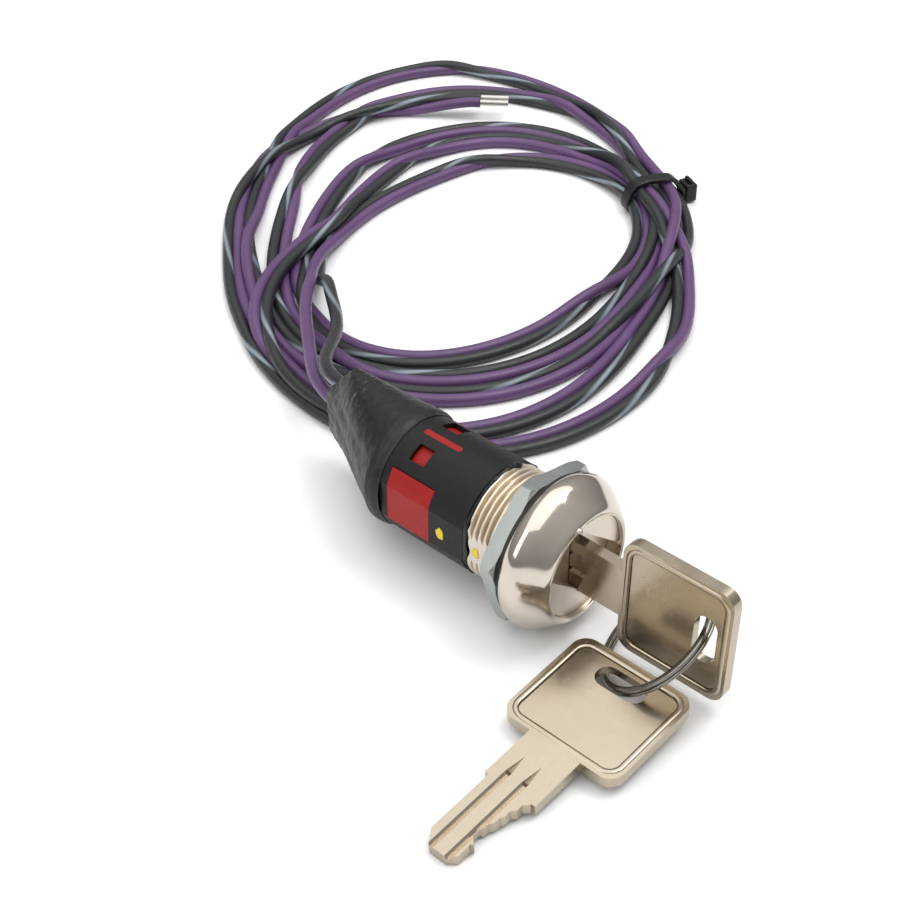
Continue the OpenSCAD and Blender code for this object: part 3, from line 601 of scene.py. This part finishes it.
for key, place_on_key, body in (("inserted_key", in_lock, "key_body"), ("spare_key", on_ring, "spare_body")):
    rim_mesh = bmesh.new()
    for side in (-1, 1):
        beads = []
        for corner, (along, across) in enumerate(((1, 1), (-1, 1), (-1, -1), (1, -1))):
            middle = (bow_middle + along * (bow_half_l - rim_inset - rim_corner),
                      across * (bow_half_w - rim_inset - rim_corner))
            for turn in np.radians(np.linspace(90 * corner, 90 * corner + 90, 12)):
                bead = []
                for t in np.linspace(0, math.pi, 7):
                    r = rim_corner + rim_half_w * math.cos(t)
                    up = side * (key_half_t - rim_root + (rim_h + rim_root) * math.sin(t))
                    at = place_on_key(middle[0] + r * math.cos(turn), middle[1] + r * math.sin(turn), up)
                    bead.append(rim_mesh.verts.new(at * MM))
                beads.append(bead)
        for a, b in zip(beads, beads[1:] + beads[:1]):
            for k in range(7):
                rim_mesh.faces.new((a[k], a[(k + 1) % 7], b[(k + 1) % 7], b[k])).smooth = k < 6
    bmesh.ops.recalc_face_normals(rim_mesh, faces=rim_mesh.faces)
    rim = finished(key + "_coined_rim", rim_mesh)
    crease(rim, 60)
    rim.data.materials.append(key_nickel)
    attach(rim, body)

ring_steel = plated("nickel_plated_spring_steel", "#9c9791", "#7a756f", 0.16, 0.28, 2.5, 0.03)
ring_centre = np.array((-0.35, -27.93, -6.39))
ring_axis = np.array((-0.35, 0.55, 0.76))
ring_axis = ring_axis / np.linalg.norm(ring_axis)
ring_mean_r, wire_w, wire_h, wire_gap = 11.3, 1.4, 0.8, 0.03
across = np.cross(ring_axis, (0, 0, 1))
across = across / np.linalg.norm(across)
forward = np.cross(ring_axis, across)
# the wire is flat, with well rounded edges
section = [(wire_w / 2 * math.copysign(abs(math.cos(t)) ** 0.8, math.cos(t)),
            wire_h / 2 * math.copysign(abs(math.sin(t)) ** 0.8, math.sin(t)))
           for t in np.linspace(0, 2 * math.pi, 16, endpoint=False)]
ring_mesh = bmesh.new()
loops = []
for turn in np.arange(0, 701, 4.0):
    t = math.radians(turn)
    # it climbs from the lower turn to the upper one over a short stretch
    climb = smooth(min(1, max(0, (turn - 335) / 40)))
    height = (climb - 0.5) * (wire_h + wire_gap)
    out = across * math.cos(t + 0.6) + forward * math.sin(t + 0.6)
    loops.append([ring_mesh.verts.new((ring_centre + out * (ring_mean_r + a) + ring_axis * (height + b)) * MM)
                  for a, b in section])
for a, b in zip(loops, loops[1:]):
    for k in range(16):
        ring_mesh.faces.new((a[k], a[(k + 1) % 16], b[(k + 1) % 16], b[k])).smooth = True
ring_mesh.faces.new(loops[0])
ring_mesh.faces.new(reversed(loops[-1]))
bmesh.ops.recalc_face_normals(ring_mesh, faces=ring_mesh.faces)
ring = finished("sprung_ring", ring_mesh)
ring.data.materials.append(ring_steel)
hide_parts("split_ring")
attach(ring, "ring_body")

# ---- Housing, contact block and sealing compound ----------------------------------------------------
# The black housing is moulded in glass-filled nylon and pushed over the neck. The red contact
# block inside it, moulded in ABS, fills the two slots and the wide opening flush.


def moulded(name, dark, light, smoothest, roughest, grit, bump):
    """A moulded plastic with a faint flow mottle of 6 mm, and the mould's spark-eroded texture of
    the given grit in millimetres."""
    made, tree, shader = material(name)
    place = add(tree, "ShaderNodeTexCoord").outputs["Object"]
    mottle = add(tree, "ShaderNodeTexNoise", {"Scale": 160, "Detail": 5, "Roughness": 0.65}, Vector=place)
    colour = add(tree, "ShaderNodeMix", {6: dark, 7: light}, {"data_type": "RGBA"},
                 Factor=mottle.outputs["Fac"])
    tree.links.new(colour.outputs[2], shader.inputs["Base Color"])
    texture = add(tree, "ShaderNodeTexNoise", {"Scale": 1000 / grit, "Detail": 3}, Vector=place)
    texture = texture.outputs["Fac"]
    rough = add(tree, "ShaderNodeMapRange", {1: 0.3, 2: 0.7, 3: smoothest, 4: roughest}, _0=texture)
    tree.links.new(rough.outputs[0], shader.inputs["Roughness"])
    bumped = add(tree, "ShaderNodeBump", {"Strength": bump, "Distance": 0.0001}, Height=texture)
    tree.links.new(bumped.outputs[0], shader.inputs["Normal"])
    shader.inputs["IOR"].default_value = 1.53
    # the fine texture traps some of the gloss
    shader.inputs["Specular IOR Level"].default_value = 0.27
    return made


black_nylon = moulded("black_glass_filled_nylon", "#0c0c0c", "#151414", 0.42, 0.58, 0.5, 0.12)
red_abs = moulded("red_abs", "#860c0a", "#a31712", 0.4, 0.54, 0.6, 0.12)
ivory_nylon = moulded("ivory_nylon", "#d8d2c0", "#e8e4d8", 0.4, 0.5, 0.5, 0.08)
paint("housing", black_nylon, 0.1)
paint("contact_block", red_abs, 0.08)
paint("contact_rotor", ivory_nylon)

# a bead of black adhesive, squeezed out unevenly between the barrel and the housing
bead_y, bead_r = 7.35, 10.85
bead_half_w, bead_half_h = 0.45, 0.42
bead_profile = [(bead_y + bead_half_w * math.cos(t), bead_r + bead_half_h * math.sin(t))
                for t in np.linspace(0, 2 * math.pi, 14, endpoint=False)]


def squeezed_out(p, t):
    """Makes the bead thick in some places and thin in others, and flat over the barrel's flat."""
    thin_y, thin_r, flat_x = 7.6, 10.75, -10.55
    x, y, z = p
    swell = 1 + 0.5 * math.sin(3 * t + 0.8) * math.sin(7 * t) + 0.25 * math.sin(17 * t + 2) * math.sin(5 * t)
    y = thin_y + (y - thin_y) * max(0.25, swell)
    r = math.hypot(x, z)
    swollen_r = thin_r + (r - thin_r) * max(0.4, swell * 0.9)
    return max(x * swollen_r / r, flat_x), y, z * swollen_r / r


bead = lathe("adhesive_bead", bead_profile, 200, squeezed_out)
wet_adhesive = moulded("black_adhesive", "#0c0c0c", "#1a1a1a", 0.12, 0.35, 0.8, 0.3)
bead.data.materials.append(wet_adhesive)
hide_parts("sealing_bead")
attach(bead, "switch")

# ---- Paint dots -----------------------------------------------------------------------------------------
# Two dabs of yellow paint, put on by hand, that line the housing's flat up with the barrel's.
# thick enamel with streaks of about 0.7 mm from the brush
yellow_paint, tree, shader = material("yellow_paint")
place = add(tree, "ShaderNodeTexCoord").outputs["Object"]
streak = add(tree, "ShaderNodeTexNoise", {"Scale": 1400, "Detail": 3}, Vector=place).outputs["Fac"]
colour = add(tree, "ShaderNodeMix", {6: "#cfae14", 7: "#f2d93a"}, {"data_type": "RGBA"}, Factor=streak)
tree.links.new(colour.outputs[2], shader.inputs["Base Color"])
bump = add(tree, "ShaderNodeBump", {"Strength": 0.4, "Distance": 0.0001}, Height=streak)
tree.links.new(bump.outputs[0], shader.inputs["Normal"])
shader.inputs["Roughness"].default_value = 0.4
dots = bmesh.new()
dot_sides = 40
on_barrel = (-barrel_flat - 0.01, 4.9, -0.2, 0.85, 1.15)
on_housing = (-10.61, 13.2, -0.3, 0.95, 1.3)
for x, y, z, half_w, half_h in (on_barrel, on_housing):
    rings = []
    for share, rise in ((1, 0), (0.85, 0.07), (0.45, 0.1)):
        ring = []
        for t in np.linspace(0, 2 * math.pi, dot_sides, endpoint=False):
            # a brushed dab has a slightly lobed outline
            wide = share * half_w * (1 + 0.14 * math.sin(3 * t + x) + 0.08 * math.sin(7 * t))
            tall = share * half_h * (1 + 0.1 * math.sin(5 * t + y))
            at = (x - rise, y + wide * math.cos(t), z + tall * math.sin(t))
            ring.append(dots.verts.new([c * MM for c in at]))
        rings.append(ring)
    for a, b in zip(rings, rings[1:]):
        for k in range(dot_sides):
            n = (k + 1) % dot_sides
            dots.faces.new((a[k], b[k], b[n], a[n])).smooth = True
    dots.faces.new(rings[-1])
    dots.faces.new(reversed(rings[0]))
bmesh.ops.recalc_face_normals(dots, faces=dots.faces)
dabs = finished("paint_dabs", dots)
dabs.data.materials.append(yellow_paint)
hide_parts("paint_dots")
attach(dabs, "switch")

# ---- Inner pieces --------------------------------------------------------------------------------------
# Bright steel stampings, springs, pin and ball, and pressed brass wafers and contacts. The leads'
# bared ends and their joints are tinned.
bright_steel = plated("bright_steel", "#b9bbbd", "#94979a", 0.22, 0.4, 0.6)
pressed_brass = plated("pressed_brass", "#d0a756", "#b48a3e", 0.25, 0.42, 0.6)
tinned_copper = plated("tinned_copper", "#d6d4ce", "#aaa79f", 0.28, 0.5, 0.35, 0.5, None, 0.0002)
for node in ("wafer_springs", "stop_pin", "detent_ball", "detent_spring", "retaining_clip", "wiper_spring",
             "rotor_screw", "rotor_washer"):
    paint(node, bright_steel)
for node in ("wafers", "contact_wiper", "fixed_contacts"):
    paint(node, pressed_brass)
for node in ("solder_joints", "lead_ends"):
    paint(node, tinned_copper)

# ---- Boot ----------------------------------------------------------------------------------------------
# Thick black heat-shrink tube. It grips the housing's end, and its free end was pinched flat
# with pliers while hot, so it is creased, pitted and a little ragged where the leads come out.
boot_start, boot_straight_end, boot_end = 28.0, 31.0, 56.0
boot_grip_r, boot_edge_shrink = 11.85, 0.5
boot_mouth_r, boot_mouth_end = 11.25, 30.05
pinch_x, pinch_z, pinch_half_t, pinch_half_h = 5.0, 0.0, 2.4, 10.5
boot_sides, boot_rings = 128, 90


def ripple(a, b, c):
    """A smooth, repeatable unevenness between about -1 and 1."""
    waves = (1.7 * a + 2.1 * b, 2.9 * b - 1.3 * c + 1, 2.3 * c + 3.1 * a + 2)
    return sum(math.sin(w) for w in waves) / len(waves)


def boot_point(y, t):
    """A point of the boot's skin at a station and an angle round it."""
    u = min(1, max(0, (y - boot_straight_end) / (boot_end - boot_straight_end)))
    s = 0.25 * smooth(u) + 0.75 * u ** 0.9
    # the tube's edge is shrunk tight on the housing
    grip_r = boot_grip_r - boot_edge_shrink * (1 - smooth(min(1, (y - boot_start) / 1.6)))
    half_x = (1 - s) * grip_r + s * pinch_half_t
    half_z = (1 - s) * grip_r + s * pinch_half_h
    c, q = math.cos(t), math.sin(t)
    # the section goes from round to a flat lens with tight edges
    n = 1 - 0.25 * s * math.sin(math.pi * u)
    x = half_x * math.copysign(abs(c) ** n, c)
    z = half_z * q
    # two folds run along it, deeper on the side of the housing's flat
    fold = 0.8 * math.sin(math.pi * u) * math.exp(-((z + 4.5 - 5 * u) / 1.6) ** 2)
    fold += 0.4 * math.sin(math.pi * min(1, u * 1.1)) * math.exp(-((z - 5.5 + 2 * u) / 1.2) ** 2)
    x -= math.copysign(fold, c) * (0.3 + 0.7 * (c < 0))
    dent = 0.16 * s * ripple(z * 0.9, y * 0.5, 3 * c) + 0.1 * u * ripple(z * 2.3, y * 1.7, 5 * c)
    x += math.copysign(dent, c)
    z -= 0.12 * s * ripple(y, 3, c)
    return s * pinch_x + x, s * pinch_z + z


boot_mesh = bmesh.new()
boot_angles = [2 * math.pi * k / boot_sides for k in range(boot_sides)]
skin = []
for i in range(boot_rings + 1):
    y = boot_start + (boot_end - boot_start) * (i / boot_rings)
    ring = []
    for t in boot_angles:
        x, z = boot_point(y, t)
        # the cut end is uneven, and stays behind the solid's end
        uneven = 0.3 * ripple(z * 0.8, 1, 2) - 0.35
        # its upper corner is pulled back, and its lower one a little
        corner = 0.85 * max(0, z - 3.5) + 0.35 * max(0, -7 - z)
        late = max(0, 1 - (boot_end - y) / 14)
        ring.append(boot_mesh.verts.new((x * MM, (y + (uneven - corner) * late * late) * MM, z * MM)))
    skin.append(ring)
# inside the cut end the tube's wall turns in to the slot round the leads
cut_end = skin[-1]
for depth, share in ((0.1, 0.86), (0.9, 0.62), (2.2, 0.5)):
    ring = []
    for v in cut_end:
        x, z = v.co.x / MM, v.co.z / MM
        ring.append(boot_mesh.verts.new(((pinch_x + (x - pinch_x) * share) * MM, v.co.y - depth * MM,
                                         (pinch_z + (z - pinch_z) * (0.5 + share / 2)) * MM)))
    skin.append(ring)
# its other end is open over the housing
mouth = []
for y in (boot_start, boot_mouth_end):
    circle = [(boot_mouth_r * math.cos(t), y, boot_mouth_r * math.sin(t)) for t in boot_angles]
    mouth.append([boot_mesh.verts.new([c * MM for c in at]) for at in circle])
for a, b in list(zip(skin, skin[1:])) + [(mouth[0], skin[0]), (mouth[1], mouth[0])]:
    for k in range(boot_sides):
        n = (k + 1) % boot_sides
        boot_mesh.faces.new((a[k], b[k], b[n], a[n])).smooth = True
boot_mesh.faces.new(skin[-1])
boot_mesh.faces.new(reversed(mouth[1]))
bmesh.ops.recalc_face_normals(boot_mesh, faces=boot_mesh.faces)
boot = finished("shrink_tube_boot", boot_mesh)
crease(boot, 50)
# satin polyolefin, cloudy over about 5 mm where the heat reached it, with shallow pits 2 mm apart
shrink_tube, tree, shader = material("shrunk_polyolefin")
place = add(tree, "ShaderNodeTexCoord").outputs["Object"]
axes = add(tree, "ShaderNodeSeparateXYZ", Vector=place)
sheen = add(tree, "ShaderNodeTexNoise", {"Scale": 210, "Detail": 6, "Roughness": 0.7}, Vector=place)
pits = add(tree, "ShaderNodeTexVoronoi", {"Scale": 520}, Vector=place)
body_colour = add(tree, "ShaderNodeMix", {6: "#0c0c0c", 7: "#1b1b1b"}, {"data_type": "RGBA"},
                  Factor=sheen.outputs["Fac"])
# the hot pliers left pale scuffs under a millimetre across at its end, and at the upper corner
near_end = add(tree, "ShaderNodeMapRange", {1: 0.0535, 2: 0.0558, 3: 0.0, 4: 1.0}, _0=axes.outputs["Y"])
late = add(tree, "ShaderNodeMapRange", {1: 0.038, 2: 0.047, 3: 0.0, 4: 1.0}, _0=axes.outputs["Y"])
upper = add(tree, "ShaderNodeMapRange", {1: 0.0065, 2: 0.0098, 3: 0.0, 4: 1.0}, _0=axes.outputs["Z"])
corner = add(tree, "ShaderNodeMath", {}, {"operation": "MULTIPLY"}, _0=late.outputs[0], _1=upper.outputs[0])
scuffed = add(tree, "ShaderNodeMath", {}, {"operation": "MAXIMUM"}, _0=near_end.outputs[0],
              _1=corner.outputs[0])
speck = add(tree, "ShaderNodeTexNoise", {"Scale": 1500, "Detail": 4}, Vector=place)
speck = add(tree, "ShaderNodeMapRange", {1: 0.62, 2: 0.72, 3: 0.0, 4: 0.4}, _0=speck.outputs["Fac"])
speck = add(tree, "ShaderNodeMath", {}, {"operation": "MULTIPLY"}, _0=speck.outputs[0],
            _1=scuffed.outputs[0])
colour = add(tree, "ShaderNodeMix", {7: "#b8b6b0"}, {"data_type": "RGBA"}, Factor=speck.outputs[0],
             _6=body_colour.outputs[2])
tree.links.new(colour.outputs[2], shader.inputs["Base Color"])
rough = add(tree, "ShaderNodeMapRange", {1: 0.3, 2: 0.7, 3: 0.33, 4: 0.55}, _0=sheen.outputs["Fac"])
tree.links.new(rough.outputs[0], shader.inputs["Roughness"])
dents = add(tree, "ShaderNodeMath", {}, {"operation": "ADD"}, _0=sheen.outputs["Fac"],
            _1=pits.outputs["Distance"])
bump = add(tree, "ShaderNodeBump", {"Strength": 0.5, "Distance": 0.0003}, Height=dents.outputs[0])
tree.links.new(bump.outputs[0], shader.inputs["Normal"])
shader.inputs["Specular IOR Level"].default_value = 0.38
boot.data.materials.append(shrink_tube)
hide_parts("shrink_boot")
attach(boot, "switch")

# ---- Cable tie -----------------------------------------------------------------------------------------
# A narrow black nylon tie drawn tight round the whole coil at its right-hand side. Its strap is
# ribbed inside, and its tail is cut off short in the locking head on the outer side.
tie_w, strap_t, strap_edge, rib_h, strap_clear = 3.6, 1.25, 0.15, 0.12, 0.12
tie_way = np.array((math.cos(math.radians(tie_turn)), math.sin(math.radians(tie_turn)), 0))
tie_side = np.array((-tie_way[1], tie_way[0], 0))
tie_foot = np.array((coil_centre[0], coil_centre[1], 0))


def at_tie(out, side, up):
    """A point from places out from the coil's centre, across the strap and up."""
    return tie_foot + tie_way * out + tie_side * side + np.array((0, 0, up))


# the leads' skins where they pass through the tie, as points out from the coil's centre and up
skins = []
skin_r = lead_r + strap_clear
for line in (black_line, purple_line):
    out, along = (line - tie_foot) @ tie_way, (line - tie_foot) @ tie_side
    for k in np.nonzero((along[:-1] * along[1:] <= 0) & (out[:-1] > 0))[0]:
        share = along[k] / (along[k] - along[k + 1])
        mid_out = out[k] + share * (out[k + 1] - out[k])
        mid_up = line[k, 2] + share * (line[k + 1, 2] - line[k, 2])
        skins += [(mid_out + skin_r * math.cos(t), mid_up + skin_r * math.sin(t))
                  for t in np.linspace(0, 2 * math.pi, 24, endpoint=False)]
# the strap is drawn tight over them, in steps of one rib or gap
hull = np.array([skins[k] for k in convex_hull_2d([Vector(p) for p in skins])])
closed = np.column_stack([np.vstack([hull, hull[:1]]), np.zeros(len(hull) + 1)])
even = spaced(closed, 1.0)[:-1, :2]
tie_steps = 150
steps = np.linspace(0, len(even), tie_steps, endpoint=False)
tight = np.column_stack([np.interp(steps, np.arange(len(even) + 1), np.append(even[:, i], even[0, i]))
                         for i in (0, 1)])
for _ in range(6):
    tight = (np.roll(tight, 1, 0) + 2 * tight + np.roll(tight, -1, 0)) / 4
run = np.roll(tight, -1, 0) - np.roll(tight, 1, 0)
outward = np.column_stack([run[:, 1], -run[:, 0]]) / np.linalg.norm(run, axis=1)[:, None]
if ((tight - tight.mean(0)) * outward).sum() < 0:
    outward = -outward
tie_mesh = bmesh.new()
loops = []
for k in range(tie_steps):
    rib = rib_h * (k % 2)
    loop = []
    for a, depth in ((-1, strap_edge), (-0.8, rib), (0.8, rib), (1, strap_edge), (1, 1), (0.8, strap_t),
                     (-0.8, strap_t), (-1, 1)):
        out, up = tight[k] + outward[k] * depth
        loop.append(tie_mesh.verts.new(at_tie(out, a * tie_w / 2, max(up, floor_z)) * MM))
    loops.append(loop)
for a, b in zip(loops, loops[1:] + loops[:1]):
    for m in range(8):
        tie_mesh.faces.new((a[m], a[(m + 1) % 8], b[(m + 1) % 8], b[m]))
bmesh.ops.recalc_face_normals(tie_mesh, faces=tie_mesh.faces)
strap = finished("tie_band", tie_mesh)
crease(strap, 30)
black_tie_nylon = moulded("black_tie_nylon", "#101010", "#1b1b1b", 0.3, 0.45, 0.7, 0.1)
strap.data.materials.append(black_tie_nylon)
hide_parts("tie_strap")
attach(strap, "switch")

# the locking head stands outside the strap, with the stub of the tail on top
lock_out, lock_up = tight[:, 0].max() + 2.3, floor_z + 2.9
lock_size, lock_round = (3.2, 4.6, 4.8), 0.45
tail_out, tail_up, tail_size = lock_out + 0.1, lock_up + 2.7, (1.1, 3.0, 1.6)
lock_mesh = bmesh.new()
for out, up, sizes in ((lock_out, lock_up, lock_size), (tail_out, tail_up, tail_size)):
    for v in bmesh.ops.create_cube(lock_mesh, size=1)["verts"]:
        v.co = Vector(at_tie(out + v.co.x * sizes[0], v.co.y * sizes[1], up + v.co.z * sizes[2]) * MM)
bmesh.ops.bevel(lock_mesh, geom=lock_mesh.edges[:], offset=lock_round * MM, segments=3, affect="EDGES",
                profile=0.5)
bmesh.ops.recalc_face_normals(lock_mesh, faces=lock_mesh.faces)
lock = finished("tie_lock", lock_mesh)
crease(lock, 35)
lock.data.materials.append(black_tie_nylon)
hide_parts("tie_head")
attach(lock, "switch")

# ---- Floor and light ------------------------------------------------------------------------
# A plain white sweep under soft boxes, bright enough that the shadows stay faint.
floor_mesh = bmesh.new()
bmesh.ops.create_grid(floor_mesh, x_segments=1, y_segments=1, size=3)
floor = finished("floor", floor_mesh)
# a hair below the object, so that what lies on it doesn't flicker
floor.location.z = floor_z * MM - 0.00005
white_floor, tree, shader = material("white_floor")
place = add(tree, "ShaderNodeTexCoord").outputs["Object"]
shade = add(tree, "ShaderNodeTexNoise", {"Scale": 3}, Vector=place).outputs["Fac"]
colour = add(tree, "ShaderNodeMix", {6: "#f6f6f6", 7: "#fafafa"}, {"data_type": "RGBA"}, Factor=shade)
tree.links.new(colour.outputs[2], shader.inputs["Base Color"])
shader.inputs["Roughness"].default_value = 0.9
floor.data.materials.append(white_floor)


def soft_box(name, place, target, width, height, power):
    """An area light that faces a point."""
    data = bpy.data.lights.new(name, "AREA")
    data.shape = "RECTANGLE"
    data.size, data.size_y, data.energy = width, height, power
    made = bpy.data.objects.new(name, data)
    made.location = place
    made.rotation_euler = (Vector(target) - Vector(place)).to_track_quat("-Z", "Y").to_euler()
    bpy.context.collection.objects.link(made)


soft_box("overhead_box", (0.0, 0.15, 1.25), (0.03, 0.05, 0), 2.2, 1.8, 14)
soft_box("key_box", (0.34, -0.22, 0.9), (0, 0, 0), 0.42, 0.42, 2.6)
soft_box("left_box", (-0.9, 0.2, 0.55), (0, 0.02, 0), 0.5, 0.7, 2)
# the room is darker low down, which gives the plated parts something to mirror
world = bpy.data.worlds.new("studio")
bpy.context.scene.world = world
world.use_nodes = True
tree = world.node_tree
place = add(tree, "ShaderNodeTexCoord").outputs["Generated"]
height = add(tree, "ShaderNodeSeparateXYZ", Vector=place).outputs["Z"]
ramp = add(tree, "ShaderNodeMapRange", {1: -0.1, 2: 0.9, 3: 0.32, 4: 1.0}, _0=height)
tree.links.new(ramp.outputs[0], tree.nodes["Background"].inputs["Color"])
tree.nodes["Background"].inputs["Strength"].default_value = 0.7
bpy.context.scene.view_settings.view_transform = "Standard"
